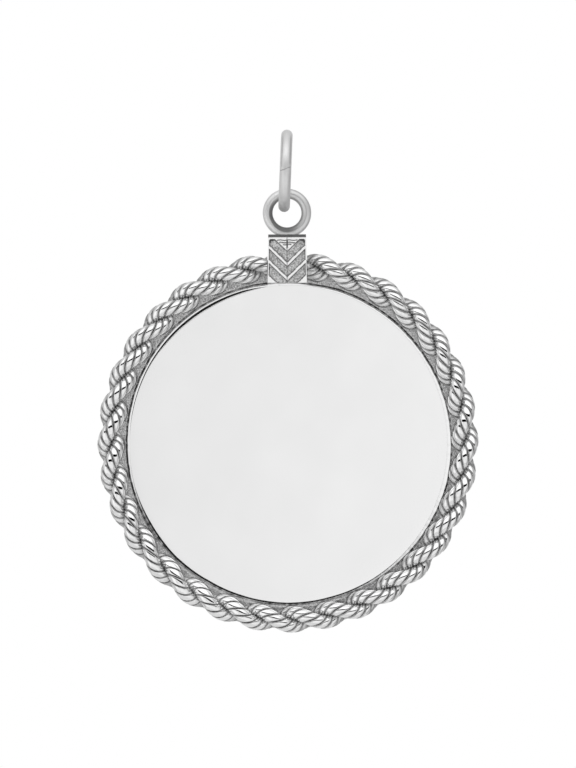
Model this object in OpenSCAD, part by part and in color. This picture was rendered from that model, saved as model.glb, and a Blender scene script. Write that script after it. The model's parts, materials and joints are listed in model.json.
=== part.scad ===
// Disc pendant: a plain polished disc in a bezel with a two strand rope border, hung from a chevron bail
// and a jump ring. The front faces -Y, +Z is up, and the origin is the top of the jump ring's inside, where
// a chain bears.

/* [Jump ring] */
// Outer diameter of the jump ring
ring_d = 6.45; // [6:0.05:7]
// Diameter of its wire
ring_wire = 0.9; // [0.8:0.05:1]
// Lean of the ring, its foot to the left, in degrees
ring_lean = 2.5; // [0:0.5:4]
// Width of the butt seam where the ring was closed
ring_seam = 0.04; // [0.02:0.01:0.08]

/* [Bail] */
// Outer diameter of the fixed loop
loop_d = 3.8; // [3.7:0.05:4]
// Diameter of the loop's wire
loop_wire = 0.77; // [0.7:0.01:0.8]
// Clear play between the jump ring and the top of the loop's hole
link_play = 0.11; // [0.05:0.01:0.15]
// Depth that the loop is sunk into the block
loop_sink = 0.17; // [0.1:0.01:0.25]
// Width of the block at its foot
block_foot_w = 3.08; // [2.9:0.02:3.2]
// Width of the block at its top
block_top_w = 2.94; // [2.8:0.02:3.08]
// Height of the block
block_h = 3.79; // [3.7:0.01:3.9]
// How far the block's face stands in front of the rope
block_proud = 0.05; // [0:0.05:0.3]

/* [Chevrons] */
// Rise of the chevrons' arms, in degrees
chevron_rise = 44; // [40:1:48]
// Width of the two raised chevrons
chevron_w = 0.16; // [0.1:0.02:0.24]
// Distance of one chevron below the other
chevron_pitch = 1.13; // [1:0.01:1.2]
// Tip of the raised triangle, below the block's top
tip_drop = 1.29; // [1.2:0.01:1.4]
// Tip of the upper chevron, below the block's top
chevron_drop = 2.34; // [2.2:0.01:2.45]
// Side of the raised corners at the foot
corner_w = 0.76; // [0.5:0.02:0.9]
// Depth of the matt ground between them
ground_depth = 0.15; // [0.08:0.01:0.25]
// Rounding of the ground's upper corners
ground_round = 0.14; // [0.06:0.02:0.18]
// Plain rim left along the sides
side_rim = 0.05; // [0.03:0.01:0.1]
// Plain band left under the top edge
top_band = 0.13; // [0.08:0.01:0.2]
// Height of the sloped edge over that band
top_slope = 0.19; // [0.1:0.01:0.3]
// Width of the fine crease down the middle
crease_w = 0.07; // [0.04:0.01:0.1]

/* [Disc] */
// Diameter of the disc
disc_d = 25; // [24.8:0.1:25]
// Thickness of the disc
disc_t = 1; // [0.8:0.1:1.2]
// Rounding of its front edge
disc_round = 0.2; // [0.1:0.05:0.4]

/* [Bezel] */
// Gap between the disc and the bezel's wall
wall_gap = 0.06; // [0.04:0.01:0.1]
// Thickness of the bezel's wall
wall_t = 0.2; // [0.18:0.01:0.22]
// Height of the wall's rim over the disc's face
rim_proud = 0.03; // [0:0.01:0.1]
// Thickness of the flange and of the lip behind the disc
flange_t = 0.5; // [0.4:0.05:0.6]
// Outer diameter of the flange
flange_d = 29; // [28.6:0.1:29.2]
// Width of the lip behind the disc
lip_w = 0.9; // [0.5:0.1:1.5]
// Width of the matt ground round the wall, which the rope is let into
ground_w = 0.8; // [0.7:0.05:0.8]
// How far that ground lies behind the rim
ground_drop = 0.05; // [0.03:0.01:0.1]

/* [Rope] */
// Diameter of the ring that the middle of the rope follows
rope_ring_d = 27.94; // [27.9:0.02:28]
// Diameter of one strand
strand_d = 1.02; // [0.98:0.02:1.04]
// Distance of a strand's middle from the middle of the rope
strand_offset = 0.53; // [0.53:0.01:0.54]
// Turns that the strands would make in a full ring
rope_turns = 16; // [14:1:18]
// Angle of the first outward crest of strand a, from +X
first_crest = 1.25; // [0:0.25:10]
// Clear seat between pieces that touch
seat_gap = 0.02; // [0.01:0.01:0.05]

/* [Hidden] */
$fn = 96;
round_fn = 48;
strand_sides = 10;
rings_per_turn = 12;
cut_over = 1;

// The jump ring, about its own middle
ring_r = (ring_d - ring_wire) / 2;
ring_hole_r = ring_d / 2 - ring_wire;
ring_mid = [-ring_hole_r * sin(ring_lean), 0, -ring_hole_r * cos(ring_lean)];

// The foot of the jump ring's wire, and the loop that rides on it
ring_foot = ring_mid - ring_r * [sin(ring_lean), 0, cos(ring_lean)];
loop_r = (loop_d - loop_wire) / 2;
loop_hole_r = loop_d / 2 - loop_wire;
foot_reach = loop_hole_r - ring_wire / 2 - link_play;
loop_z = ring_foot[2] - sqrt(foot_reach * foot_reach - ring_foot[0] * ring_foot[0]);

// Heights of the block and of the disc's middle
block_top_z = loop_z - loop_d / 2 + loop_sink;
block_foot_z = block_top_z - block_h;
wall_r = disc_d / 2 + wall_gap;
wall_out_r = wall_r + wall_t;
disc_z = block_foot_z - wall_r;
flange_r = flange_d / 2;
ground_r = wall_out_r + ground_w;

// Distances in front of the back plane
disc_back = flange_t + seat_gap;
disc_face = disc_back + disc_t;
rim_face = disc_face + rim_proud;
ground_face = rim_face - ground_drop;
rope_r = strand_offset + strand_d / 2;
rope_mid = flange_t + seat_gap + rope_r;
rope_seat_r = rope_r + 2 * seat_gap;
block_face = rope_mid + rope_r + block_proud;

// The back plane lies this far behind the loop, so that the pendant hangs plumb
plumb_y = 1.02;

// Where the strands stop beside the block
rope_ring_r = rope_ring_d / 2;
strand_end_x = block_foot_w / 2 + seat_gap;
strand_start = acos(strand_end_x / rope_ring_r);
strand_sweep = 180 + 2 * strand_start;
strand_steps = round(strand_sweep * rope_turns * rings_per_turn / 360);

// Sideways run of a strand for each radian of the ring. The strand's section spins back by strand_spin for
// each degree of the ring, so that its facets run straight.
strand_twist = strand_offset * rope_turns;
strand_spin = rope_turns * rope_ring_r / norm([rope_ring_r, strand_twist]);

chevron_slope = tan(chevron_rise);
chevron_tall = chevron_w / cos(chevron_rise);

// Turns +Z to the front and puts the back plane and the middle of the disc in place
module facing_front(z) {
    translate([0, plumb_y, z])
        rotate([90, 0, 0])
            children();
}

module wire_ring(r, wire) {
    rotate_extrude()
        translate([r, 0])
            circle(d = wire, $fn = round_fn);
}

module jump_ring() {
    color("silver")
        translate(ring_mid)
            rotate([0, ring_lean, 0])
                difference() {
                    rotate([0, 90, 0])
                        wire_ring(ring_r, ring_wire);
                    translate([-ring_wire, -ring_d, -ring_seam / 2])
                        cube([2 * ring_wire, ring_d, ring_seam]);
                }
}

// Front outline of the block, from its foot up, with an inset from the sides
function block_half_w(h) = (block_foot_w + (block_top_w - block_foot_w) * h / block_h) / 2;
function block_outline(inset, low, high) = [
    [-block_half_w(low) + inset, low],
    [block_half_w(low) - inset, low],
    [block_half_w(high) - inset, high],
    [-block_half_w(high) + inset, high]
];

// A V band between two tips on the middle line, as wide as the block
module v_band(upper_tip, lower_tip) {
    w = block_foot_w;
    rise = w * chevron_slope;
    polygon([
        [0, upper_tip], [w, upper_tip + rise], [w, lower_tip + rise],
        [0, lower_tip], [-w, lower_tip + rise], [-w, upper_tip + rise]
    ]);
}

// Reach of the matt ground, with rounded upper corners
module ground_outline() {
    top = block_h - top_slope - top_band;
    side = block_half_w(top - ground_round) - side_rim;
    polygon(block_outline(side_rim, -cut_over, top - ground_round));
    translate([ground_round - side, -cut_over])
        square([2 * (side - ground_round), top + cut_over]);
    for (way = [-1, 1])
        translate([way * (side - ground_round), top - ground_round])
            circle(r = ground_round, $fn = round_fn);
}

// The three matt V bands: under the triangle, between the chevrons, and above the corners
module chevron_ground() {
    tip = block_h - tip_drop;
    upper = block_h - chevron_drop;
    lower = upper - chevron_pitch;
    corner_tip = (block_foot_w / 2 - corner_w) * chevron_slope;
    intersection() {
        ground_outline();
        union() {
            v_band(tip, upper + chevron_tall / 2);
            v_band(upper - chevron_tall / 2, lower + chevron_tall / 2);
            v_band(lower - chevron_tall / 2, -corner_tip);
        }
    }
}

module block() {
    edge = top_slope + cut_over;
    difference() {
        linear_extrude(block_face)
            polygon(block_outline(0, 0, block_h));
        translate([0, 0, block_face - ground_depth])
            linear_extrude(ground_depth + cut_over)
                chevron_ground();
        translate([-block_foot_w, block_h, block_face])
            rotate([90, 0, 90])
                linear_extrude(2 * block_foot_w)
                    polygon([[-edge, cut_over], [cut_over, cut_over], [cut_over, -edge]]);
        translate([0, 0, block_face])
            rotate([-90, 0, 0])
                linear_extrude(block_h + cut_over)
                    polygon([[-crease_w / 2, 0], [crease_w / 2, 0], [0, crease_w / 2]]);
    }
}

// The space that the bezel takes, with the seat gap round it, carried on behind the back plane
module bezel_space() {
    translate([0, 0, -cut_over]) {
        cylinder(r = wall_out_r + seat_gap, h = cut_over + rim_face + seat_gap);
        cylinder(r = ground_r + seat_gap, h = cut_over + ground_face + seat_gap);
        cylinder(r = flange_r + seat_gap, h = cut_over + flange_t + seat_gap);
    }
}

module bail() {
    color("silver") {
        difference() {
            facing_front(block_foot_z)
                block();
            facing_front(disc_z)
                bezel_space();
        }
        translate([0, 0, loop_z])
            rotate([90, 0, 0])
                wire_ring(loop_r, loop_wire);
    }
}

// Lip, flange, ground and wall in one, with a round seat for the rope
module bezel() {
    color("gainsboro")
        facing_front(disc_z)
            difference() {
                rotate_extrude() {
                    translate([wall_r - lip_w, 0])
                        square([flange_r - wall_r + lip_w, flange_t]);
                    translate([wall_r, 0])
                        square([wall_t, rim_face - wall_t / 2]);
                    translate([wall_r + wall_t / 2, 0])
                        square([wall_t / 2 + ground_w, ground_face]);
                    translate([wall_r + wall_t / 2, rim_face - wall_t / 2])
                        circle(d = wall_t, $fn = round_fn);
                }
                translate([0, 0, rope_mid])
                    wire_ring(rope_ring_r, 2 * rope_seat_r);
            }
}

// The middle of a strand and the section round it, at angle a of the ring and turn t of the strand
function outward(a) = [cos(a), sin(a), 0];
function along(a) = [-sin(a), cos(a), 0];
function strand_mid(a, t) =
    (rope_ring_r + strand_offset * cos(t)) * outward(a) + strand_offset * sin(t) * [0, 0, 1];
function strand_out(a, t) = cos(t) * outward(a) + sin(t) * [0, 0, 1];
function strand_way(a, t) =
    (rope_ring_r + strand_offset * cos(t)) * along(a)
        + strand_twist * (sin(t) * outward(a) - cos(t) * [0, 0, 1]);

function section_point(a, t, i) =
    let (
        way = strand_way(a, t) / norm(strand_way(a, t)),
        out = strand_out(a, t),
        s = 360 * i / strand_sides - strand_spin * a
    )
    strand_mid(a, t) + strand_d / 2 * (cos(s) * out + sin(s) * cross(way, out));

// Slides a point along the strand onto the plane beside the block
function onto_plane(p, way, x) = p + way * (x - p[0]) / way[0];

function strand_turn(a, start) = rope_turns * (first_crest - a) + start;
function strand_ring(k, start) =
    let (
        a = 180 - strand_start + strand_sweep * k / strand_steps,
        t = strand_turn(a, start),
        way = strand_way(a, t)
    )
    [for (i = [0 : strand_sides - 1])
        let (p = section_point(a, t, i))
        k == 0 ? onto_plane(p, way, -strand_end_x)
            : k == strand_steps ? onto_plane(p, way, strand_end_x)
            : p];

module strand(start) {
    points = [for (k = [0 : strand_steps]) each strand_ring(k, start)];
    last = strand_steps * strand_sides;
    skin = [for (k = [0 : strand_steps - 1]) for (i = [0 : strand_sides - 1])
        let (
            p = k * strand_sides + i,
            q = k * strand_sides + (i + 1) % strand_sides
        )
        each [[p, q + strand_sides, q], [p, p + strand_sides, q + strand_sides]]];
    first_cap = [for (i = [0 : strand_sides - 1]) i];
    last_cap = [for (i = [strand_sides - 1 : -1 : 0]) last + i];
    facing_front(disc_z)
        translate([0, 0, rope_mid])
            polyhedron(points, concat(skin, [first_cap, last_cap]));
}

module rope_strand_a() {
    color("lightsteelblue")
        strand(0);
}

module rope_strand_b() {
    color("lightsteelblue")
        strand(180);
}

module disc() {
    color("whitesmoke")
        facing_front(disc_z)
            translate([0, 0, disc_back])
                rotate_extrude() {
                    square([disc_d / 2 - disc_round, disc_t]);
                    square([disc_d / 2, disc_t - disc_round]);
                    translate([disc_d / 2 - disc_round, disc_t - disc_round])
                        intersection() {
                            circle(r = disc_round, $fn = round_fn);
                            square(disc_round);
                        }
                }
}

jump_ring();
bail();
bezel();
rope_strand_a();
rope_strand_b();
disc();
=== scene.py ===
"""Disc pendant: the looks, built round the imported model. Metres, the front towards -Y, +Z up."""

import json
import math

import bmesh
import bpy
import numpy as np
from mathutils import Matrix, Vector, noise


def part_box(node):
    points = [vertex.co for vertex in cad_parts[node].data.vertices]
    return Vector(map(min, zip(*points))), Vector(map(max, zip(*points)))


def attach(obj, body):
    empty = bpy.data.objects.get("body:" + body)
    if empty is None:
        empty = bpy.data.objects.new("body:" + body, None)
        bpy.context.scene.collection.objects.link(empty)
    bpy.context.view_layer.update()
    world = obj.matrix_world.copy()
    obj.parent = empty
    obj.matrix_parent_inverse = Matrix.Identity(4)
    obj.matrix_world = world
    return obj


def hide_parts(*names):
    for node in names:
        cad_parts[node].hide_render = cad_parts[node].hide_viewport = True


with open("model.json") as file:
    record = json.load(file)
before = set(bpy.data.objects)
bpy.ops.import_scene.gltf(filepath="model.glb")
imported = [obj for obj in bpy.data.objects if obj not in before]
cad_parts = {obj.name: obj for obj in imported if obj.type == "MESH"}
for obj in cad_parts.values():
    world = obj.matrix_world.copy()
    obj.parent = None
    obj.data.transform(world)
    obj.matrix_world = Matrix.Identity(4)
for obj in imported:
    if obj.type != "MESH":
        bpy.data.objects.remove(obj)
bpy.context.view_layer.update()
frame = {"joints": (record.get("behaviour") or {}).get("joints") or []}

# The scene is drawn in millimetres and scaled to metres as each mesh is made
MM = 0.001


def box_mm(node):
    """Lowest and highest corner of a CAD node, in millimetres."""
    low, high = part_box(node)
    return low / MM, high / MM


# Places that the frame gives, in millimetres. Depths are heights in front of the plane of the back.
disc_low, disc_high = box_mm("disc")
bezel_low, bezel_high = box_mm("bezel")
bail_low, bail_high = box_mm("bail")
BACK_Y = bezel_high.y
MID_Z = (disc_low.z + disc_high.z) / 2
DISC_R = (disc_high.x - disc_low.x) / 2
DISC_BACK = BACK_Y - disc_high.y
DISC_FACE = BACK_Y - disc_low.y
FLANGE_R = (bezel_high.x - bezel_low.x) / 2
RIM_FACE = BACK_Y - bezel_low.y
BLOCK_FACE = BACK_Y - bail_low.y
BLOCK_FOOT = bail_low.z - MID_Z
LOOP_OUT_R = (bail_high.x - bail_low.x) / 2
LOOP_MID_Z = bail_high.z - LOOP_OUT_R
SWING = frame["joints"][0]
RING_MID = Vector(SWING["pos_m"]) / MM
RING_AXIS = Vector(SWING["axis"])

# Jump ring and loop
RING_R = 2.775
RING_WIRE_R = 0.45
RING_STEPS = 320
RING_SIDES = 48
LOOP_WIRE_R = 0.385
LOOP_STEPS = 120
LOOP_SIDES = 40
SEAM_W = 0.012
SEAM_CHAMFER = 0.03
SEAM_SLANT = 0.4
SEAM_SLANT_REACH = 0.35
SEAM_DARK = 0.35
# Painted reflections: dark lines along the ring's near side above the seam. Place across the wire from -1
# to 1, width and darkness of each. They fade in and out over these stretches, in radians round the ring.
RING_LINES = [(-0.70, 0.09, 0.35), (0.74, 0.12, 0.45)]
LINES_START = (0.02, 0.15)
LINES_END = (0.85, 1.15)
# Painted shade: the ring's near side is a little darker below the seam, and more so towards the right
BELOW_DARK = 0.04
BELOW_RIGHT_DARK = 0.13
# Painted shade on the lowest tip of the ring: how dark, and the heights above it between which that fades
TIP_DARK = 0.5
TIP_REACH = (0.06, 0.45)
# Painted shade: how dark the loop's inside is at its lower left and elsewhere, and its right edge and band
LOOP_LEFT_DARK = 0.82
LOOP_INSIDE_DARK = 0.45
LOOP_EDGE_DARK = 0.36
LOOP_EDGE_W = 0.12
LOOP_BAND_DARK = 0.28

# Disc: its edge is more rounded in the open gap, and its face falls a little towards it, more so below
DISC_SEGMENTS = 540
DISC_EDGE = 0.05
DISC_ROUND = 0.006
GAP_ROUND = 0.074
DISC_FALL = 0.0005
LOW_FALL = 0.0055
# The share of the fall at distances inwards of the rounding, and further in at distances from the edge
ROUNDING_COURSE = [(0.008, 0.97), (0.016, 0.92)]
FALL_COURSE = [(0.18, 0.5), (0.34, 0.17), (0.5, 0.03), (0.7, 0)]
# How far down the disc's edge is darkened with painted shade where the gap is open, and how dark
EDGE_SHADED = 0.8
EDGE_DARK = 0.9

# Bezel. The seat gap is what the block and the rope's ends keep clear.
BEZEL_SEGMENTS = 1080
WALL_R = 12.56
WALL_T = 0.2
FLANGE_T = 0.5
FLANGE_EDGE = 0.04
LIP_W = 0.9
SEAT_GAP = 0.02
GROUND_W = 0.8
GROUND_SUNK = 0.05
GROUND_FACE = RIM_FACE - GROUND_SUNK
GROUND_REACH = 13.9
# The ground is drawn in steps between a part hidden by the rope and the groove's edge
GROUND_BEHIND_ROPE = 0.45
GROUND_BY_GROOVE = 0.04
GROUND_STEPS = 24
GROOVE_W = 0.14
GROOVE_TOP = GROUND_FACE - 0.02
GROOVE_DEPTH = 0.12
GROOVE_SLANT = 0.03
GAP_W = 0.11
# The rim's outer rounding, its inner one where the gap is closed, and what an open gap adds to that
RIM_ROUND = 0.04
INNER_ROUND = 0.004
OPEN_ROUND = 0.03
# How much lower the rim is where the gap is closed, how far its edge wanders and over what length
RIM_SUNK = 0.033
RIM_WANDER = 0.03
WANDER_LENGTH = 0.6
# Over what length the painted shade of the rim and the groove wobbles round the rim
WOBBLE_LENGTH = 0.25
# The seam between disc and rim, by degrees from the right: the disc's edge, the rim's outer edge, how open
# the gap between them is, how deep the groove outside the rim is and how much painted shade the rim has.
# The gap and the groove also take painted shade by these numbers.
RIM = [
    # degrees, disc, edge, gap, groove, dull_and_shaded
    (0, 12.45, 12.75, 0.0, 0.5, 0.0),
    (30, 12.44, 12.67, 0.0, 0.8, 0.0),
    (45, 12.44, 12.65, 0.0, 0.9, 0.0),
    (60, 12.43, 12.62, 0.0, 0.9, 0.0),
    (71, 12.43, 12.63, 0.0, 1.0, 0.0),
    (80, 12.42, 12.56, 0.0, 0.9, 0.0),
    (97, 12.40, 12.60, 0.0, 0.8, 0.0),
    (106, 12.37, 12.63, 1.0, 0.7, 0.1),
    (120, 12.33, 12.67, 1.5, 0.6, 0.0),
    (135, 12.37, 12.67, 1.2, 0.6, 0.0),
    (150, 12.44, 12.64, 0.5, 0.9, 0.0),
    (180, 12.38, 12.55, 0.0, 1.0, 0.0),
    (195, 12.43, 12.56, 0.1, 1.0, 0.1),
    (210, 12.38, 12.60, 0.8, 0.6, 0.8),
    (225, 12.43, 12.63, 1.0, 0.1, 0.8),
    (240, 12.37, 12.60, 0.9, 0.0, 0.7),
    (255, 12.40, 12.62, 0.8, 0.0, 0.7),
    (270, 12.44, 12.64, 0.7, 0.0, 0.8),
    (285, 12.43, 12.62, 0.7, 0.1, 0.7),
    (300, 12.46, 12.65, 0.5, 0.5, 0.5),
    (315, 12.46, 12.66, 0.1, 0.7, 0.2),
    (330, 12.45, 12.70, 0.0, 0.7, 0.1),
    (345, 12.45, 12.76, 0.0, 0.9, 0.0),
]
# Stretches of the bezel's profile: how many points, their polish, and how much they take of the groove's
# painted shade, of the rim's painted shade, of the gap's painted shade and of the ground's dust and
# painted shade
BEZEL_STRETCHES = [
    # points, polish, groove, rim, gap, ground: back, flange, step, ground, groove, then the rim inwards
    (3, 0.7, 0.0, 0.0, 0.0, 0.0),
    (3, 0.3, 0.0, 0.0, 0.0, 0.0),
    (1, 0.0, 0.0, 0.0, 0.0, 0.0),
    (GROUND_STEPS, 0.0, 0.0, 0.0, 0.0, 1.0),
    (1, 0.3, 0.3, 0.0, 0.0, 0.0),
    (2, 0.3, 1.0, 0.0, 0.0, 0.0),
    (1, 1.0, 0.5, 1.0, 0.0, 0.0),
    (11, 1.0, 0.0, 1.0, 0.0, 0.0),
    (1, 1.0, 0.0, 1.0, 0.2, 0.0),
    (1, 1.0, 0.0, 1.0, 0.7, 0.0),
    (1, 0.2, 0.0, 0.0, 0.9, 0.0),
    (1, 0.2, 0.0, 0.0, 0.2, 0.0),
]
# The ground is darker towards one side: how dark at most and in which direction that is. Its patches of dust
# in a millimetre, how strong these are, and how much stronger where the ground is darker. Then the painted
# shade where the rope's wires meet the ground, and how far it reaches.
LOWER_RIGHT_DARK = 0.34
DARKEST_AT = -62
DUST_PATCHES = 3.5
DUST_PATCHY = 0.2
DARK_PATCHY = 0.6
CONTACT_DARK = 0.8
CONTACT_REACH = 0.10

# Rope: two strands of four wires each. The ring that it follows sits a little high on the bezel. The wires
# are a little flat, as polishing leaves them, and flattest where they are most worn. The lay is the wires'
# turns in one turn of the strand, and angles are in degrees.
ROPE_RING_R = 13.84
ROPE_RISE = 0.136
ROPE_MID = 1.54
ROPE_TURNS = 16
# Where the first strand is farthest out, in degrees from the right, if the lay is even
FIRST_CREST = 1.25
STRAND_OFFSET = 0.50
STRAND_R = 0.575
ROPE_R = STRAND_OFFSET + STRAND_R
# How far the strands run past the cut beside the block, in radians, before they are cut
STRAND_SPARE = 0.03
WIRES = 4
WIRE_R = 0.255
WIRE_FLAT = 0.14
WIRE_WORN = 0.07
WORN_AT = 238
WORN_REACH = 34
WIRE_LAY = 3.25
WIRE_START = 45
WIRE_SIDES = 24
WIRE_STEP = 0.13
# The hand-laid twist isn't even: its lead over an even one by degrees from the right, and the wires' lead,
# both in degrees.
ROPE_DRIFT = [
    # degrees, twist, wires
    (0, -0.65, -22),
    (40, -0.90, -12),
    (52, -0.60, -5),
    (62, -0.10, 0),
    (112, 0.50, 0),
    (125, -0.10, -10),
    (140, -0.45, -22),
    (165, -0.55, -30),
    (180, -0.55, -36),
    (192, -1.40, -45),
    (212, -1.90, -45),
    (232, -0.30, -22),
    (250, 0.00, -5),
    (290, 0.00, 0),
    (315, -0.80, -22),
    (330, -0.90, -22),
]
# Dirt and painted shade on the rope beside the block, left and right: how far they reach and how dark. Then
# how far past the cut, their patches in a millimetre, their even part and how strong the patches are.
BESIDE_LEFT = (2.2, 0.60)
BESIDE_RIGHT = (1.7, 0.68)
BESIDE_PAST_CUT = 0.2
BESIDE_PATCHES = 3.2
BESIDE_EVEN = 0.8
BESIDE_PATCHY = 0.9
# How much darker the rope's side towards the disc is made at most, with painted shade, and where that is.
# It begins and is full at these shares of the rope's radius, inwards from its middle.
INNER_DARK = 0.5
INNER_DARK_AT = -40
INNER_SPAN = (0.3, 0.8)

# Bail's block. Its sides and its back are of one plain polish.
BLOCK_H = 3.79
BLOCK_FOOT_W = 3.08
BLOCK_TOP_W = 2.94
PLAIN_POLISH = 0.6
CHEVRON_ANGLE = math.radians(44)
CHEVRON_SLOPE = math.tan(CHEVRON_ANGLE)
CHEVRON_TALL = 0.19 / math.cos(CHEVRON_ANGLE)
# Heights in the middle of the front: the tip of the upper sunk band, the upper ridge and the lower ridge
TIP = BLOCK_H - 1.29
UPPER = BLOCK_H - 2.34
LOWER = UPPER - 1.13
# The plain corners at the foot: how wide they are and how far their slanted edge bows
CORNER_W = 0.76
CORNER_BOW = 0.05
# The sunk ground: its depth, its rounded upper corners, the width of its sloped sides and its roughness
GROUND_DEPTH = 0.15
GROUND_ROUND = 0.14
GROUND_EDGE = 0.035
GRIT = 0.014
SIDE_RIM = 0.08
TOP_BAND = 0.12
SLOPE_FOOT = BLOCK_H - 0.25
GROUND_TOP = SLOPE_FOOT - TOP_BAND
# The crease down the middle, and how much shallower it is on the ground
CREASE_W = 0.16
CREASE_DEPTH = 0.05
CREASE_FILL = 0.03
# The front's mesh: its cells, and the finer steps over the rounding of its edge
FACE_CELL = 0.016
FACE_EDGE = 0.04
EDGE_STEPS = np.array([0, 0.004, 0.011, 0.022, FACE_EDGE])
EDGE_BEHIND = 0.03
ACROSS_BACK = np.linspace(-1, 1, 25)
# Marks of a tool across the face above the chevrons: height, half length, darkness
TOOL_MARKS = [(3.36, 0.85, 0.45), (3.16, 0.66, 0.95), (3.01, 0.36, 0.80), (2.77, 0.11, 0.90)]
TOOL_W = 0.045
TOOL_DEPTH = 0.012
TOOL_FADE = 0.1
# Painted shade on the face: how dark at the foot of what is raised, on the slope at the top, in the ground's
# upper corners, along the crease, how much more so above the chevrons, and how dark at the lower edge
FOOT_DARK = 0.9
SLOPE_DARK = 0.93
CORNER_DARK = 0.95
CREASE_DARK = 0.4
HIGH_CREASE_DARK = 0.6
LOW_EDGE_DARK = 0.5


def front(u, v, w):
    """A point u right of the disc's middle, v above it and w in front of the back plane, in the frame."""
    return np.stack(np.broadcast_arrays(u, BACK_Y - w, MID_Z + v), -1)


def link(name, data):
    """A new object in the scene."""
    piece = bpy.data.objects.new(name, data)
    bpy.context.scene.collection.objects.link(piece)
    return piece


def finish_piece(name, mesh, material, body, node, smooth_angle):
    """An object from a mesh, smooth up to an angle in degrees, riding on a body in place of a CAD node."""
    mesh.shade_smooth()
    mesh.set_sharp_from_angle(angle=math.radians(smooth_angle))
    mesh.materials.append(material)
    piece = link(name, mesh)
    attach(piece, body)
    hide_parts(node)


def add_piece(name, points, faces, material, body, node, attributes, smooth_angle):
    """A piece from points in millimetres, with attributes by name that have a value for each point."""
    mesh = bpy.data.meshes.new(name)
    mesh.from_pydata([tuple(p) for p in points * MM], [], faces)
    for key, values in attributes.items():
        layer = mesh.attributes.new(key, "FLOAT", "POINT")
        layer.data.foreach_set("value", np.asarray(values, np.float32).reshape(-1))
    mesh.validate()
    finish_piece(name, mesh, material, body, node, smooth_angle)


def smoothstep(low, high, x):
    """0 at low, 1 at high and smooth between them, where low may be above high."""
    t = np.clip((x - low) / (high - low), 0, 1)
    return t * t * (3 - 2 * t)


def at_angle(table, degrees):
    """The columns of a table by degrees, at angles between its rows."""
    table = np.array(table)
    return [np.interp(degrees, table[:, 0], column, period=360) for column in table.T[1:]]


def grid_faces(rows, columns, wrap_rows=False, wrap_columns=False, first=0):
    """Quads over a rows by columns grid of points."""
    faces = []
    for i in range(rows - (0 if wrap_rows else 1)):
        for j in range(columns - (0 if wrap_columns else 1)):
            a = first + i * columns + j
            b = first + i * columns + (j + 1) % columns
            c = first + ((i + 1) % rows) * columns + (j + 1) % columns
            d = first + ((i + 1) % rows) * columns + j
            faces.append((a, b, c, d))
    return faces


# Materials

def node_tree(name, metallic=1.0):
    """A material, its nodes and its shader."""
    material = bpy.data.materials.new(name)
    material.use_nodes = True
    tree = material.node_tree
    shader = tree.nodes["Principled BSDF"]
    shader.inputs["Metallic"].default_value = metallic
    return material, tree, shader


def feed(tree, value, socket):
    """Sets a socket to a number, or links another node's output to it."""
    if isinstance(value, (int, float)):
        socket.default_value = value
    else:
        tree.links.new(value, socket)


def grain(tree, size_mm, detail, rough=0.5):
    """Noise of a given grain size, in object space."""
    coords = tree.nodes.new("ShaderNodeTexCoord")
    tex = tree.nodes.new("ShaderNodeTexNoise")
    tex.inputs["Scale"].default_value = 1 / (size_mm * MM)
    tex.inputs["Detail"].default_value = detail
    tex.inputs["Roughness"].default_value = rough
    tree.links.new(coords.outputs["Object"], tex.inputs["Vector"])
    return tex.outputs["Fac"]


def attribute(tree, key):
    """The value of a mesh's attribute."""
    node = tree.nodes.new("ShaderNodeAttribute")
    node.attribute_name = key
    return node.outputs["Fac"]


def remap(tree, value, low, high, to_low, to_high, smooth=False):
    """A value taken from the range low to high into another range, and held within it."""
    node = tree.nodes.new("ShaderNodeMapRange")
    if smooth:
        node.interpolation_type = "SMOOTHSTEP"
    for key, number in (("From Min", low), ("From Max", high), ("To Min", to_low), ("To Max", to_high)):
        node.inputs[key].default_value = number
    tree.links.new(value, node.inputs["Value"])
    return node.outputs["Result"]


def math_node(tree, operation, a, b):
    """The result of an operation on two values."""
    node = tree.nodes.new("ShaderNodeMath")
    node.operation = operation
    for socket, value in zip(node.inputs, (a, b)):
        feed(tree, value, socket)
    return node.outputs["Value"]


def mix(tree, factor, low, high):
    """A value between two others, by a factor."""
    node = tree.nodes.new("ShaderNodeMix")
    feed(tree, factor, node.inputs["Factor"])
    feed(tree, low, node.inputs["A"])
    feed(tree, high, node.inputs["B"])
    return node.outputs["Result"]


def grey(tree, value):
    """A colour of equal parts."""
    node = tree.nodes.new("ShaderNodeCombineColor")
    for key in ("Red", "Green", "Blue"):
        tree.links.new(value, node.inputs[key])
    return node.outputs["Color"]


def metal_dirt_and_shade(tree, shader, metal, dirt_and_shade, shade):
    """Metal where shade is 0, and a dark grey that isn't metal where it is 1, for painted shade and dirt."""
    tree.links.new(grey(tree, mix(tree, shade, metal, dirt_and_shade)), shader.inputs["Base Color"])
    tree.links.new(math_node(tree, "SUBTRACT", 1.0, shade), shader.inputs["Metallic"])


def add_bump(tree, shader, height, distance_mm, strength=1.0):
    """A bump that rises by a distance where height goes from 0 to 1."""
    node = tree.nodes.new("ShaderNodeBump")
    node.inputs["Distance"].default_value = distance_mm * MM
    feed(tree, strength, node.inputs["Strength"])
    tree.links.new(height, node.inputs["Height"])
    tree.links.new(node.outputs["Normal"], shader.inputs["Normal"])


def disc_silver():
    """Mirror polish with faint buffing marks, dark where painted shade is set."""
    material, tree, shader = node_tree("disc_silver")
    cloud = grain(tree, 6.0, 2)
    metal_dirt_and_shade(tree, shader, remap(tree, cloud, 0.3, 0.7, 0.945, 0.975), 0.03, attribute(tree, "shade"))
    tree.links.new(remap(tree, grain(tree, 0.8, 3), 0.3, 0.7, 0.05, 0.08), shader.inputs["Roughness"])
    add_bump(tree, shader, cloud, 0.02)
    return material


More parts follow.
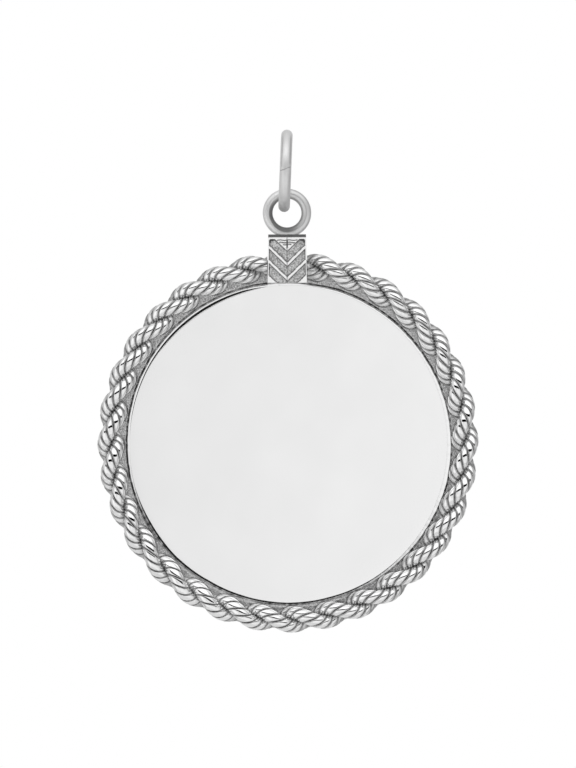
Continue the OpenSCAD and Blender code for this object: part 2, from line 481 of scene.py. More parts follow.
def ring_silver():
    """Satin wire of the jump ring and the loop, darker where painted shade is set."""
    material, tree, shader = node_tree("ring_silver")
    cloud = grain(tree, 0.8, 2)
    metal_dirt_and_shade(tree, shader, remap(tree, cloud, 0.3, 0.7, 0.81, 0.85), 0.05, attribute(tree, "shade"))
    tree.links.new(remap(tree, cloud, 0.3, 0.7, 0.44, 0.50), shader.inputs["Roughness"])
    add_bump(tree, shader, grain(tree, 0.05, 3), 0.0004)
    return material


def rope_silver():
    """Bright wire, with painted shade where the wires meet, deep in the rope and low on it."""
    material, tree, shader = node_tree("rope_silver")
    # Painted shade where the wires meet, deep in the rope, and low on it where it meets the ground
    seam = remap(tree, attribute(tree, "crest"), 0.78, 0.90, 0.72, 0.0, smooth=True)
    deep = remap(tree, attribute(tree, "in_rope"), 0.35, 0.68, 0.55, 0.0, smooth=True)
    low = remap(tree, attribute(tree, "forward"), 0.02, 0.22, 0.60, 0.0, smooth=True)
    cloud = remap(tree, grain(tree, 0.25, 3), 0.3, 0.7, -0.12, 0.12)
    clean_and_unshaded = 1.0
    for part in (seam, deep, low):
        clean_and_unshaded = math_node(tree, "MULTIPLY", math_node(tree, "SUBTRACT", 1.0, part), clean_and_unshaded)
    dirt_and_shade = remap(tree, math_node(tree, "ADD", clean_and_unshaded, cloud), 0.0, 1.0, 1.0, 0.0)
    tree.links.new(grey(tree, mix(tree, dirt_and_shade, 0.95, 0.25)), shader.inputs["Base Color"])
    tree.links.new(mix(tree, dirt_and_shade, 0.05, 0.4), shader.inputs["Roughness"])
    add_bump(tree, shader, grain(tree, 0.3, 2), 0.002)
    return material


def cast_silver():
    """Polished edges over a matt ground, told apart by the attribute polish, darker by shade: painted shade
    in the crevices, and dust and tool marks.
    """
    material, tree, shader = node_tree("cast_silver")
    polish = attribute(tree, "polish")
    sand = grain(tree, 0.12, 2, 0.6)
    dull_and_shaded = remap(tree, sand, 0.36, 0.64, 0.34, 0.86)
    metal_dirt_and_shade(tree, shader, mix(tree, polish, dull_and_shaded, 1.0), 0.03, attribute(tree, "shade"))
    tree.links.new(remap(tree, polish, 0.1, 0.9, 0.5, 0.06), shader.inputs["Roughness"])
    add_bump(tree, shader, sand, 0.03, remap(tree, polish, 0.1, 0.9, 1.0, 0.02))
    return material


# Jump ring and loop

def wire_torus(ring_r, wire_r, steps, sides, seam=0.0, slant=0.0):
    """A round wire ring about +X, whose near side is at -Y. A seam leaves it open there, with chamfered ends.
    Gives the points, the faces, and the turn round the ring and round the wire at each point."""
    turn = np.linspace(0, math.tau, steps, endpoint=seam > 0)
    radius = np.full(steps, wire_r)
    if seam > 0:
        half = seam / 2 / ring_r
        turn = half + turn * (math.tau - 2 * half) / math.tau
        inwards = np.array([0, 0.5, 1])
        chamfer = SEAM_CHAMFER / ring_r * inwards
        turn = np.concatenate([turn[0] + chamfer, turn[1:-1], turn[-1] - chamfer[::-1]])
        end = wire_r - SEAM_CHAMFER * (1 - np.sqrt(1 - (1 - inwards) ** 2))
        radius = np.concatenate([end, radius[1:-1], end[::-1]])
    side = np.linspace(0, math.tau, sides, endpoint=False)
    turn, radius = turn[:, None], radius[:, None]
    aside = radius * np.sin(side)
    near = np.clip(1 - np.minimum(turn, math.tau - turn) / SEAM_SLANT_REACH, 0, 1)
    leaned = turn + slant * near * aside / ring_r
    run = ring_r + radius * np.cos(side)
    points = np.stack(np.broadcast_arrays(aside, -run * np.cos(leaned), run * np.sin(leaned)), -1)
    rows = len(turn)
    faces = grid_faces(rows, sides, wrap_rows=seam == 0, wrap_columns=True)
    if seam > 0:
        faces.append(tuple(range(sides)))
        faces.append(tuple(range(rows * sides - 1, (rows - 1) * sides - 1, -1)))
    around_ring, around_wire = (np.broadcast_to(a, (rows, sides)).reshape(-1) for a in (turn, side))
    return points.reshape(-1, 3), faces, around_ring, around_wire


def jump_ring(material):
    """The jump ring, leaning as the joint's axis does, with painted shade and reflections in a few places."""
    points, faces, turn, side = wire_torus(RING_R, RING_WIRE_R, RING_STEPS, RING_SIDES, SEAM_W, SEAM_SLANT)
    above_tip = points[:, 2] + RING_R + RING_WIRE_R
    lean = Vector((1, 0, 0)).rotation_difference(RING_AXIS).to_matrix()
    points = points @ np.array(lean).T + np.array(RING_MID)
    outside = np.cos(side) > 0
    from_seam = np.minimum(turn, math.tau - turn) * RING_R
    shade = SEAM_DARK * (1 - smoothstep(SEAM_W / 2, SEAM_W / 2 + SEAM_CHAMFER, from_seam))
    # Painted reflections: dark lines along the near side above the seam
    lined = smoothstep(*LINES_START, turn) * (1 - smoothstep(*LINES_END, turn)) * outside
    for across, width, dark in RING_LINES:
        line = np.exp(-((np.sin(side) - across) / width) ** 2)
        shade = np.maximum(shade, dark * lined * line)
    # Painted shade below the seam and at the lowest tip
    below = smoothstep(0.0, -0.1, np.sin(turn)) * outside
    below = below * (BELOW_DARK + BELOW_RIGHT_DARK * smoothstep(0.3, 0.95, np.sin(side)))
    tip = TIP_DARK * (1 - smoothstep(*TIP_REACH, above_tip))
    shade = np.maximum(shade, np.maximum(below, tip))
    add_piece("jump_ring_wire", points, faces, material, "ring", "jump_ring",
              {"shade": shade}, smooth_angle=50)


# Disc and bezel

def rim_at(degrees):
    """The seam between disc and rim at an angle, by the names of the table's columns."""
    return dict(zip(("disc", "edge", "gap", "groove", "dull_and_shaded"), at_angle(RIM, degrees)))


def revolve(profile_at, segments):
    """A closed profile of (radius, depth), turned about the disc's axis and changing with the angle."""
    angle = np.linspace(0, math.tau, segments, endpoint=False)
    profile = np.array([profile_at(a) for a in np.degrees(angle)])
    r, w = profile[..., 0], profile[..., 1]
    return front(r * np.cos(angle)[:, None], r * np.sin(angle)[:, None], w).reshape(-1, 3), angle


def arc(mid, radius, start, end, steps):
    """Points on an arc of a profile, with angles in degrees."""
    a = np.radians(np.linspace(start, end, steps + 1))
    return [(mid[0] + radius * math.cos(t), mid[1] + radius * math.sin(t)) for t in a]


def disc_profile(degrees):
    """The disc's edge, rounded where the rim leaves it free, and its face, which falls a little outwards."""
    rim = rim_at(degrees)
    edge_r = rim["disc"]
    rounding = DISC_ROUND + GAP_ROUND * min(rim["gap"], 1)
    fall = DISC_FALL + LOW_FALL * (1 - max(math.sin(math.radians(degrees)), 0)) ** 2
    profile = [(edge_r - 2 * DISC_EDGE, DISC_BACK), (edge_r - DISC_EDGE, DISC_BACK),
               (edge_r, DISC_BACK + DISC_EDGE), (edge_r, DISC_FACE - EDGE_SHADED)]
    profile += arc((edge_r - rounding, DISC_FACE - fall - rounding), rounding, 0, 88, 10)
    course = [(rounding + inwards, part) for inwards, part in ROUNDING_COURSE] + FALL_COURSE
    return profile + [(edge_r - inwards, DISC_FACE - fall * part) for inwards, part in course]


def disc(material):
    """The plate: a revolved edge, and a fan of triangles on its face and on its back."""
    points, angle = revolve(disc_profile, DISC_SEGMENTS)
    columns = len(points) // DISC_SEGMENTS
    faces = grid_faces(DISC_SEGMENTS, columns, wrap_rows=True)
    # Painted shade: the edge is dark down in the open gap
    gap = np.array([min(rim_at(d)["gap"], 1) for d in np.degrees(angle)])
    down = DISC_FACE - (BACK_Y - points[:, 1])
    deep = smoothstep(0.02, 0.07, down) * (down < EDGE_SHADED + 0.01)
    shade = np.append(EDGE_DARK * deep * np.repeat(gap, columns), [0, 0])
    back_mid = len(points)
    face_mid = back_mid + 1
    points = np.concatenate([points, front(0, 0, DISC_BACK)[None], front(0, 0, DISC_FACE)[None]])
    for i in range(DISC_SEGMENTS):
        here = i * columns
        after = (i + 1) % DISC_SEGMENTS * columns
        faces.append((back_mid, here, after))
        faces.append((face_mid, after + columns - 1, here + columns - 1))
    add_piece("disc_plate", points, faces, material, "pendant", "disc",
              {"shade": shade}, smooth_angle=30)


def round_noise(degrees, size):
    """A smooth random number about zero that changes round the rim."""
    a = math.radians(degrees)
    return noise.noise(Vector((math.cos(a), math.sin(a), 0)) * DISC_R / size)


def bezel_profile(degrees):
    """Lip, flange, ground, groove and rim, from the lip's back corner outwards."""
    rim = rim_at(degrees)
    open_gap = min(rim["gap"], 1)
    rim_out = rim["edge"] + RIM_WANDER * round_noise(degrees, WANDER_LENGTH)
    rim_in = rim["disc"] + GAP_W * rim["gap"]
    rim_face = RIM_FACE - RIM_SUNK * (1 - open_gap)
    inner_round = INNER_ROUND + OPEN_ROUND * open_gap
    lip_r = WALL_R - LIP_W
    groove_out = rim_out + GROOVE_W
    groove_low = GROOVE_TOP - GROOVE_DEPTH * rim["groove"]
    ground = np.linspace(GROUND_REACH - GROUND_BEHIND_ROPE, groove_out + GROUND_BY_GROOVE, GROUND_STEPS)
    profile = [(lip_r, 0), (FLANGE_R - FLANGE_EDGE, 0), (FLANGE_R, FLANGE_EDGE),
               (FLANGE_R, FLANGE_T - FLANGE_EDGE), (FLANGE_R - FLANGE_EDGE, FLANGE_T),
               (GROUND_REACH, FLANGE_T), (GROUND_REACH, GROUND_FACE)]
    profile += [(r, GROUND_FACE) for r in ground]
    profile += [(groove_out, GROOVE_TOP), (groove_out - GROOVE_SLANT, groove_low), (rim_out, groove_low)]
    profile += arc((rim_out - RIM_ROUND, rim_face - RIM_ROUND), RIM_ROUND, 0, 90, 6)
    profile += arc((rim_in + inner_round, rim_face - inner_round), inner_round, 90, 180, 6)
    return profile + [(rim_in, FLANGE_T), (lip_r, FLANGE_T)]


def rope_inside(degrees):
    """The rope's inner outline as seen from the front, as a distance from the middle of its ring."""
    angle = np.radians([degrees])
    inner = []
    for start in (0, 180):
        mid = strand_course(angle, start)[0][0]
        deep = max(GROUND_FACE - mid[2], 0)
        inner.append(math.hypot(mid[0], mid[1]) - math.sqrt(STRAND_R ** 2 - deep ** 2))
    return min(inner)


def ground_dust_and_shade(points):
    """How dark the ground is at points along one radius: patches of dust, darker towards the lower right,
    and painted shade where the rope's wires meet it.
    """
    x, z = points[:, 0], points[:, 2] - MID_Z - ROPE_RISE
    turn = math.degrees(math.atan2(z[-1], x[-1]))
    level = LOWER_RIGHT_DARK * max(math.cos(math.radians(turn - DARKEST_AT)), 0)
    patches = np.array([noise.noise(Vector((p, q, 0)) * DUST_PATCHES) for p, q in zip(x, z)])
    ground_tone = level + (DUST_PATCHY + DARK_PATCHY * level) * patches
    free = rope_inside(turn) - np.hypot(x, z)
    # Painted shade where the rope's wires meet the ground
    return ground_tone + CONTACT_DARK * (1 - smoothstep(0.0, CONTACT_REACH, free))


def bezel(material):
    """The frame round the disc, with painted shade and dust from the table of stretches."""
    points, angle = revolve(bezel_profile, BEZEL_SEGMENTS)
    columns = len(points) // BEZEL_SEGMENTS
    faces = grid_faces(BEZEL_SEGMENTS, columns, wrap_rows=True, wrap_columns=True)
    stretches = np.array(BEZEL_STRETCHES)
    marks = np.repeat(stretches[:, 1:], stretches[:, 0].astype(int), axis=0)
    polish, groove_part, rim_part, gap_part, ground_part = marks.T
    shade = []
    for degrees, row in zip(np.degrees(angle), points.reshape(BEZEL_SEGMENTS, columns, 3)):
        rim = rim_at(degrees)
        wobble = round_noise(degrees, WOBBLE_LENGTH)
        dull_and_shaded = np.clip(rim["dull_and_shaded"] + 0.5 * wobble * (rim["dull_and_shaded"] + 0.2), 0, 1)
        # Painted shade in the groove, on the rim and in the gap; dust and painted shade on the ground
        dark = groove_part * rim["groove"] * (1 + wobble) + rim_part * dull_and_shaded
        dark = np.maximum(dark, gap_part * min(max(rim["gap"], rim["groove"]), 1))
        shade.append(np.maximum(dark, ground_part * ground_dust_and_shade(row)))
    add_piece("bezel_frame", points, faces, material, "pendant", "bezel",
              {"polish": np.tile(polish, BEZEL_SEGMENTS), "shade": np.clip(shade, 0, 1)}, smooth_angle=40)


# Rope

def unit(vectors):
    """Vectors of length 1."""
    return vectors / np.linalg.norm(vectors, axis=-1, keepdims=True)


def square_to(vectors, way):
    """Vectors without their part along a way."""
    return vectors - way * np.sum(vectors * way, axis=-1, keepdims=True)


def strand_angles(end_x):
    """Angles along a strand, from past one side of the block round to past the other."""
    reach = math.acos(end_x / ROPE_RING_R)
    begin = math.pi - reach - STRAND_SPARE
    end = math.tau + reach + STRAND_SPARE
    return np.linspace(begin, end, int((end - begin) * ROPE_RING_R / WIRE_STEP))


def strand_course(angle, start):
    """The middle of a strand, its two cross directions, as (right, up, forward) vectors, and its twist."""
    lead = at_angle(ROPE_DRIFT, np.degrees(angle))[0]
    phase = np.radians(ROPE_TURNS * (FIRST_CREST + lead - np.degrees(angle)) + start)
    out = np.stack([np.cos(angle), np.sin(angle), np.zeros_like(angle)], -1)
    clockwise = np.stack([np.sin(angle), -np.cos(angle), np.zeros_like(angle)], -1)
    ahead = np.array([0, 0, 1.0])
    cos, sin = np.cos(phase)[:, None], np.sin(phase)[:, None]
    slope = ROPE_TURNS * STRAND_OFFSET / ROPE_RING_R
    length = math.sqrt(1 + slope * slope)
    mid = (ROPE_RING_R + STRAND_OFFSET * cos) * out + (ROPE_MID + STRAND_OFFSET * sin) * ahead
    outward = cos * out + sin * ahead
    across = (-slope * clockwise - sin * out + cos * ahead) / length
    return mid, outward, across, phase


def flat_tube(path, middle, flat):
    """Rings of points round a wire's path. The section is flatter towards the strand's middle."""
    way = unit(np.gradient(path, axis=0))
    away = unit(square_to(path - middle, way))
    aside = np.cross(way, away)
    turn = np.linspace(0, math.tau, WIRE_SIDES, endpoint=False)
    high = flat[:, None, None] * np.cos(turn)[None, :, None] * away[:, None]
    return path[:, None] + high + WIRE_R * np.sin(turn)[None, :, None] * aside[:, None]


def beside_block(points, end_x):
    """How free of dirt and painted shade the rope is at points, from 1 down to 0 beside the block."""
    x = points[..., 0]
    clean_and_unshaded = np.ones(x.shape)
    for side, (reach, dark) in ((-1, BESIDE_LEFT), (1, BESIDE_RIGHT)):
        away = x * side - end_x
        close = (away > -BESIDE_PAST_CUT) & (away < reach) & (points[..., 1] > 0)
        patches = np.array([noise.noise(Vector(p) * BESIDE_PATCHES) for p in points[close]])
        dirt_and_shade = dark * smoothstep(reach, 0.0, away[close]) * (BESIDE_EVEN + BESIDE_PATCHY * patches)
        clean_and_unshaded[close] = 1 - np.clip(dirt_and_shade, 0, 1)
    return clean_and_unshaded


def rope_depth_shaded(rings, angle, end_x):
    """How far out in the rope points are, as a share of its radius, made less where painted shade is added:
    on the side towards the disc, and beside the block, together with dirt there."""
    level = np.hypot(rings[..., 0], rings[..., 1]) - ROPE_RING_R
    in_rope = np.hypot(level, rings[..., 2] - ROPE_MID) / ROPE_R
    dull_and_shaded = INNER_DARK * (0.5 + 0.5 * np.cos(angle - math.radians(INNER_DARK_AT)))
    inner = smoothstep(*INNER_SPAN, -level / ROPE_R)
    return in_rope * (1 - dull_and_shaded[:, None] * inner) * beside_block(rings, end_x)


def add_wire(bm, layers, rings, marks):
    """A tube through rings of points, with the marks of each point in the layers."""
    places = front(rings[..., 0], rings[..., 1] + ROPE_RISE, rings[..., 2]) * MM
    verts = []
    for place, values in zip(places.reshape(-1, 3), marks.reshape(-1, len(layers))):
        vert = bm.verts.new(place)
        for layer, value in zip(layers, values):
            vert[layer] = value
        verts.append(vert)
    for corners in grid_faces(len(rings), WIRE_SIDES, wrap_columns=True):
        bm.faces.new([verts[i] for i in corners])


def cut_beside_block(bm, end_x):
    """Cuts the wires flat on both sides of the block and closes their ends."""
    for way in (-1, 1):
        near = [v for v in bm.verts if v.co.z > MID_Z * MM and 0 < v.co.x * way < 4 * end_x * MM]
        chosen = set(near)
        edges = [e for e in bm.edges if e.verts[0] in chosen and e.verts[1] in chosen]
        faces = [f for f in bm.faces if all(v in chosen for v in f.verts)]
        bmesh.ops.bisect_plane(bm, geom=near + edges + faces, dist=1e-8,
                               plane_co=(way * end_x * MM, 0, 0), plane_no=(-way, 0, 0), clear_outer=True)
    stray = [v for v in bm.verts if v.co.z > MID_Z * MM and abs(v.co.x) < (end_x - 0.001) * MM]
    bmesh.ops.delete(bm, geom=stray, context="VERTS")
    bmesh.ops.holes_fill(bm, edges=[e for e in bm.edges if e.is_boundary], sides=0)
    bmesh.ops.recalc_face_normals(bm, faces=bm.faces)


def strand(name, start, node, material):
    """Four wires laid round one strand's course, cut flat beside the block."""
    end_x = BLOCK_FOOT_W / 2 + SEAT_GAP
    angle = strand_angles(end_x)
    mid, outward, across, phase = strand_course(angle, start)
    way = unit(np.gradient(mid, axis=0))[:, None]
    lead = at_angle(ROPE_DRIFT, np.degrees(angle))[1]
    flat = WIRE_FLAT - WIRE_WORN * np.exp(-((np.degrees(angle) - WORN_AT) / WORN_REACH) ** 2)
    ring_r = STRAND_R - flat
    bm = bmesh.new()
    layers = [bm.verts.layers.float.new(key) for key in ("crest", "in_rope", "forward")]
    for wire in range(WIRES):
        lay = np.radians(WIRE_START + lead + 360 * wire / WIRES) - WIRE_LAY * phase
        path = mid + ring_r[:, None] * (np.cos(lay)[:, None] * outward + np.sin(lay)[:, None] * across)
        rings = flat_tube(path, mid, flat)
        away = square_to(rings - mid[:, None], way)
        crest = (np.linalg.norm(away, axis=2) - ring_r[:, None]) / flat[:, None]
        marks = np.stack([crest, rope_depth_shaded(rings, angle, end_x), rings[..., 2] - ROPE_MID], -1)
        add_wire(bm, layers, rings, marks)
    cut_beside_block(bm, end_x)
    mesh = bpy.data.meshes.new(name)
    bm.to_mesh(mesh)
    bm.free()
    finish_piece(name, mesh, material, "pendant", node, smooth_angle=60)


# Bail

def block_half_w(v):
    """Half the block's width at a height above its foot."""
    return (BLOCK_FOOT_W + (BLOCK_TOP_W - BLOCK_FOOT_W) * v / BLOCK_H) / 2


def ground_inside(u, v):
    """How far a point of the block's face lies inside the matt ground, below zero on what is raised."""
    s = v - abs(u) * CHEVRON_SLOPE
    corner_in = BLOCK_FOOT_W / 2 - CORNER_W
    corner_mid = BLOCK_FOOT_W / 2 - CORNER_W / 2
    bow = CORNER_BOW * np.clip(1 - ((abs(u) - corner_mid) / (CORNER_W / 2)) ** 2, 0, 1)
    upper = (UPPER + CHEVRON_TALL / 2, TIP)
    middle = (LOWER + CHEVRON_TALL / 2, UPPER - CHEVRON_TALL / 2)
    lower = (-corner_in * CHEVRON_SLOPE - bow, LOWER - CHEVRON_TALL / 2)
    bands = [np.minimum(s - low, high - s) for low, high in (upper, middle, lower)]
    inside = np.maximum.reduce(bands) * math.cos(CHEVRON_ANGLE)
    side = block_half_w(v) - SIDE_RIM - abs(u)
    corner_u = np.maximum(GROUND_ROUND - side, 0)
    corner_v = np.maximum(GROUND_ROUND - (GROUND_TOP - v), 0)
    frame_inside = np.where((corner_u > 0) & (corner_v > 0), GROUND_ROUND - np.hypot(corner_u, corner_v),
                            np.minimum(side, GROUND_TOP - v))
    return np.minimum(inside, frame_inside)


def tool_marks(u, v):
    """How strong the marks of the tool are at points of the block's face."""
    marks = np.zeros(np.broadcast(u, v).shape)
    for level, reach, dark in TOOL_MARKS:
        # Each is a slightly wavy line that fades out at both ends
        wavy = level - 0.02 * np.sin(u * 9 + level)
        mark = np.clip(1.3 - abs(v - wavy) / TOOL_W, 0, 1)
        marks = np.maximum(marks, dark * mark * smoothstep(reach, reach - TOOL_FADE, abs(u)))
    return marks


def block_shade(u, v, inside, ground, crease):
    """The painted shade in the crevices of the block's face."""
    # The painted shade at the foot of what is raised spreads farther over the ground than up the slope
    foot_w = np.where(inside > GROUND_EDGE, 0.035, 0.02)
    foot = FOOT_DARK * np.exp(-((inside - GROUND_EDGE) / foot_w) ** 2)
    slope = SLOPE_DARK * smoothstep(0.0, 0.03, v - SLOPE_FOOT)
    corner_u = block_half_w(v) - SIDE_RIM - GROUND_ROUND
    corner_v = GROUND_TOP - GROUND_ROUND + 0.08
    corner = CORNER_DARK * (1 - smoothstep(0.18, 0.28, np.hypot(abs(u) - corner_u, v - corner_v)))
    corner = corner * ground * (1 - smoothstep(0.11, 0.18, inside))
    high = smoothstep(TIP + 0.15, TIP + 0.35, v) * smoothstep(0.0, -0.06, v - GROUND_TOP)
    along = smoothstep(0.05, 0.5, crease) * (CREASE_DARK + HIGH_CREASE_DARK * high * (1 - ground))
    low_edge = LOW_EDGE_DARK * (1 - smoothstep(0.0, 0.05, v))
    shade = np.zeros(inside.shape)
    for dark in (foot, slope, corner, along, low_edge):
        shade = np.maximum(shade, dark)
    return shade


def block_front(u, v):
    """Depth of the block's front under its face, how polished it is and its painted shade and tool marks."""
    inside = ground_inside(u, v)
    ground = smoothstep(-0.01, GROUND_EDGE, inside)
    crease = np.clip(1 - abs(u) / (CREASE_W / 2), 0, 1)
    marks = tool_marks(u, v) * (1 - ground)
    near = np.minimum(np.minimum(block_half_w(v) - abs(u), v), FACE_EDGE)
    edge = FACE_EDGE - np.sqrt(np.clip(FACE_EDGE ** 2 - (FACE_EDGE - near) ** 2, 0, None))
    drop = GROUND_DEPTH * ground + crease * (CREASE_DEPTH - CREASE_FILL * ground) + TOOL_DEPTH * marks
    drop = drop + np.maximum(v - SLOPE_FOOT, 0) + edge
    shade = np.maximum(block_shade(u, v, inside, ground, crease), marks)
    return drop, 1 - ground, shade


def level_row(v, w):
    """Points across the block's back at one height above its foot."""
    return front(ACROSS_BACK * block_half_w(v), v + BLOCK_FOOT, w)


def arc_row(radius, w):
    """Points across the block's back on an arc about the disc's middle."""
    x = ACROSS_BACK * block_half_w(radius - BLOCK_FOOT)
    y = np.sqrt(radius ** 2 - x ** 2)
    return front(ACROSS_BACK * block_half_w(y - BLOCK_FOOT), y, w)


def block_back():
    """Rows of points up the block's back, which is notched over rim, ground and flange."""
    seat_r = WALL_R + WALL_T + SEAT_GAP
    ground_r = seat_r + GROUND_W
    edge_r = FLANGE_R + SEAT_GAP
    over_rim = RIM_FACE + SEAT_GAP
    over_ground = GROUND_FACE + SEAT_GAP
    over_flange = FLANGE_T + SEAT_GAP
    return np.array([level_row(0, over_rim), arc_row(seat_r, over_rim), arc_row(seat_r, over_ground),
                     arc_row(ground_r, over_ground), arc_row(ground_r, over_flange),
                     arc_row(edge_r, over_flange), arc_row(edge_r, 0), level_row(BLOCK_H, 0)])


def block_mesh():
    """The block: a finely drawn front, flat sides, and a back that is notched over the bezel."""
    half = BLOCK_TOP_W / 2
    inner = np.linspace(-half + FACE_EDGE, half - FACE_EDGE, int(2 * half / FACE_CELL))
    across = np.concatenate([-half + EDGE_STEPS[:-1], inner, (half - EDGE_STEPS[:-1])[::-1]]) / half
    up = np.concatenate([EDGE_STEPS[:-1], np.linspace(FACE_EDGE, BLOCK_H, int(BLOCK_H / FACE_CELL))])
    v = up[:, None]
    u = across * block_half_w(v)
    drop, polish, shade = block_front(u, v)
    grit = np.array([noise.noise(Vector((x, y, 0)) * 11) + 0.6 * noise.noise(Vector((x, y, 3)) * 23)
                     for x, y in zip(u.reshape(-1), np.repeat(up, len(across)))])
    drop = drop + GRIT * grit.reshape(u.shape) * (1 - polish)
    face = front(u, v + BLOCK_FOOT, BLOCK_FACE - drop).reshape(-1, 3)
    faces = grid_faces(*u.shape)
    back = block_back()
    faces += [tuple(reversed(f)) for f in grid_faces(*back.shape[:2], first=len(face))]
    # The sides and the top are plain metal again just behind the front's marked edge
    rows, columns = u.shape
    index = np.arange(len(face)).reshape(rows, columns)
    edge = np.concatenate([index[:, 0], index[-1, 1:], index[-2::-1, -1], index[0, -2:0:-1]]).tolist()
    first_behind = len(face) + back.shape[0] * back.shape[1]
    behind = [first_behind + k for k in range(len(edge))]
    for k in range(len(edge)):
        after = (k + 1) % len(edge)
        faces.append((edge[k], edge[after], behind[after], behind[k]))
    left = behind[:rows]
    top = behind[rows - 1:rows + columns - 1]
    right = behind[rows + columns - 2:2 * rows + columns - 2]
    foot = behind[2 * rows + columns - 3:] + behind[:1]
    on_back = (len(face) + np.arange(back.shape[0] * back.shape[1])).reshape(back.shape[:2])
    for side, other in ((left, on_back[::-1, 0]), (right, on_back[:, -1]), (top, on_back[-1, ::-1]),
                        (foot, on_back[0])):
        faces.append(tuple(side + other.tolist()))
    points = np.concatenate([face, back.reshape(-1, 3), face[edge] + np.array([0, EDGE_BEHIND, 0])])
    plain = len(points) - len(face)
    polish = np.append(polish, np.full(plain, PLAIN_POLISH))
    shade = np.append(shade, np.zeros(plain))
    return points, faces, polish, shade


def loop_shade(points, side):
    """The loop's painted shade, at points about its middle and by the turn round its wire."""
    right, up = points[:, 0] / LOOP_OUT_R, points[:, 2] / LOOP_OUT_R
    inwards = -np.cos(side)
    # Painted shade on the inside of the loop, most of all at its lower left
    lower_left = smoothstep(-0.5, 0.5, -(right * 0.75 + up * 0.65))
    low = smoothstep(0.3, 0.9, -up)
    wide = smoothstep(0.20 - 0.33 * low, 0.36 - 0.33 * low, inwards)
    narrow = smoothstep(0.45, 0.8, inwards)
    # A painted dark line runs round its right side, with a band of painted shade outside it
    on_right = smoothstep(0.1, 0.5, right + 0.4 * up)
    edge = LOOP_EDGE_DARK * np.exp(-(inwards / LOOP_EDGE_W) ** 2)
    band = LOOP_BAND_DARK * smoothstep(0.5, 0.9, -inwards)
    inside = LOOP_LEFT_DARK * lower_left * wide + LOOP_INSIDE_DARK * (1 - lower_left) * narrow
    return inside + on_right * (edge + band)


def bail(cast, satin):
    """The block and the loop on its top, which faces the front."""
    points, faces, polish, shade = block_mesh()
    add_piece("bail_block", points, faces, cast, "pendant", "bail",
              {"polish": polish, "shade": shade}, smooth_angle=35)
    points, faces, _, side = wire_torus(LOOP_OUT_R - LOOP_WIRE_R, LOOP_WIRE_R, LOOP_STEPS, LOOP_SIDES)
    points = points @ np.array(Matrix.Rotation(math.radians(90), 3, "Z")).T
    shade = loop_shade(points, side)
    points = points + np.array([0, 0, LOOP_MID_Z])
    add_piece("bail_loop", points, faces, satin, "pendant", "bail",
              {"shade": shade}, smooth_angle=35)


# Studio

# The room's even light, and its patches: direction, full and outer radius in degrees, strength
ROOM = 0.32
LOBES = [
    ((0, 1, 0), 10, 24, 0.08),
    ((0, 1, 0), 50, 95, 0.33),
    ((0, -1, 0), 52, 105, 0.57),
    ((-0.35, -0.94, 0), 8, 24, -0.13),
    ((0, -0.35, 0.94), 25, 65, 0.35),
    ((-1, -0.3, 0), 20, 60, 0.15),
    ((1, -0.2, 0), 20, 60, -0.05),
]
# A dark slit across the front of the room: its lower edge, its upper edge in the middle, how far that falls
# to the sides and how far the slit reaches, as parts of the room's radius
SLIT = (0.085, 0.40, 0.12, 0.80)


def lobe(tree, direction, full, none, strength):
    """A soft patch of light or shade in the room, in a direction, with its two radii in degrees."""
    coords = tree.nodes.new("ShaderNodeTexCoord")
    dot = tree.nodes.new("ShaderNodeVectorMath")
    dot.operation = "DOT_PRODUCT"
    tree.links.new(coords.outputs["Generated"], dot.inputs[0])
    dot.inputs[1].default_value = Vector(direction).normalized()
    return remap(tree, dot.outputs["Value"], math.cos(math.radians(none)), math.cos(math.radians(full)),
                 0, strength, smooth=True)


def slit(tree):
    """The dark slit, 1 inside and 0 elsewhere."""
    coords = tree.nodes.new("ShaderNodeTexCoord")
    parts = tree.nodes.new("ShaderNodeSeparateXYZ")
    tree.links.new(coords.outputs["Generated"], parts.inputs["Vector"])
    low, high, fall, reach = SLIT
    aside = math_node(tree, "ABSOLUTE", parts.outputs["X"], 0.0)
    top = math_node(tree, "SUBTRACT", high, math_node(tree, "MULTIPLY", aside, fall))
    under_top = math_node(tree, "SUBTRACT", top, parts.outputs["Z"])
    over_low = math_node(tree, "SUBTRACT", parts.outputs["Z"], low)
    inside = math_node(tree, "MINIMUM", under_top, over_low)
    tall = remap(tree, inside, -0.02, 0.0, 0, 1, smooth=True)
    wide = remap(tree, aside, reach, reach + 0.1, 1, 0, smooth=True)
    ahead = remap(tree, parts.outputs["Y"], -0.1, 0.0, 1, 0)
    return math_node(tree, "MULTIPLY", math_node(tree, "MULTIPLY", tall, wide), ahead)


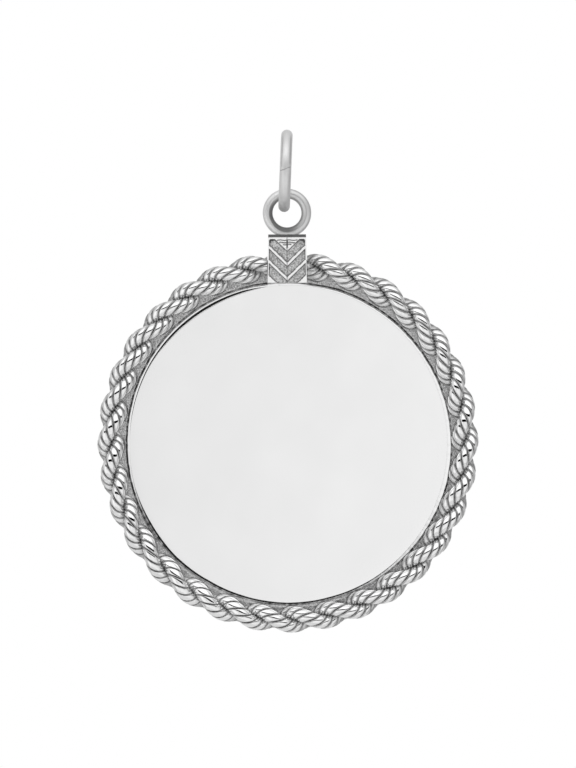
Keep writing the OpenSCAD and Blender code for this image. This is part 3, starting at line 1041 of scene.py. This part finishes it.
def room():
    """The light, all of which comes from the room."""
    world = bpy.data.worlds.new("room")
    bpy.context.scene.world = world
    world.use_nodes = True
    tree = world.node_tree
    total = ROOM
    for direction, full, none, strength in LOBES:
        total = math_node(tree, "ADD", lobe(tree, direction, full, none, strength), total)
    total = math_node(tree, "MULTIPLY", total, math_node(tree, "SUBTRACT", 1.0, slit(tree)))
    # The camera itself sees plain white behind the pendant
    seen = tree.nodes.new("ShaderNodeLightPath").outputs["Is Camera Ray"]
    total = mix(tree, seen, total, 1.0)
    tree.links.new(grey(tree, total), tree.nodes["Background"].inputs["Color"])


def floor():
    """A pale round floor well below the pendant, in metres."""
    radius = 0.5
    height = -0.5
    sides = 96
    corners = [(radius * math.cos(t), radius * math.sin(t), height)
               for t in np.linspace(0, math.tau, sides, endpoint=False)]
    mesh = bpy.data.meshes.new("floor")
    mesh.from_pydata(corners, [], [tuple(range(sides))])
    material, _, shader = node_tree("floor", metallic=0.0)
    shader.inputs["Base Color"].default_value = (0.9, 0.9, 0.9, 1)
    shader.inputs["Roughness"].default_value = 0.8
    mesh.materials.append(material)
    piece = link("floor", mesh)


# The camera faces the disc squarely. These place the disc's middle in the 576 x 768 picture.
PICTURE = (576, 768)
DISC_MIDDLE_PX = (288.0, 443.9)
MM_PER_PX = 0.0782
PENDANT_TURN = 0.25
LENS = 180
SENSOR = 36


def camera():
    """The camera, rolled a little, because the pendant hangs a little turned in the picture."""
    data = bpy.data.cameras.new("camera")
    data.lens = LENS
    data.sensor_width = SENSOR
    data.clip_start = 0.01
    data.clip_end = 5
    roll = math.radians(PENDANT_TURN)
    right = (PICTURE[0] / 2 - DISC_MIDDLE_PX[0]) * MM_PER_PX
    up = (DISC_MIDDLE_PX[1] - PICTURE[1] / 2) * MM_PER_PX
    distance = PICTURE[1] * MM_PER_PX * LENS / SENSOR
    x = right * math.cos(roll) + up * math.sin(roll)
    y = BACK_Y - DISC_FACE - distance
    z = MID_Z + up * math.cos(roll) - right * math.sin(roll)
    piece = link("camera", data)
    piece.location = Vector((x, y, z)) * MM
    piece.rotation_euler = (math.radians(90), roll, 0)
    bpy.context.scene.camera = piece


satin = ring_silver()
jump_ring(satin)
disc(disc_silver())
cast = cast_silver()
bezel(cast)
bail(cast, satin)
rope = rope_silver()
strand("rope_wires_a", 0, "rope_strand_a", rope)
strand("rope_wires_b", 180, "rope_strand_b", rope)
room()
floor()
camera()
bpy.context.scene.view_settings.view_transform = "Standard"
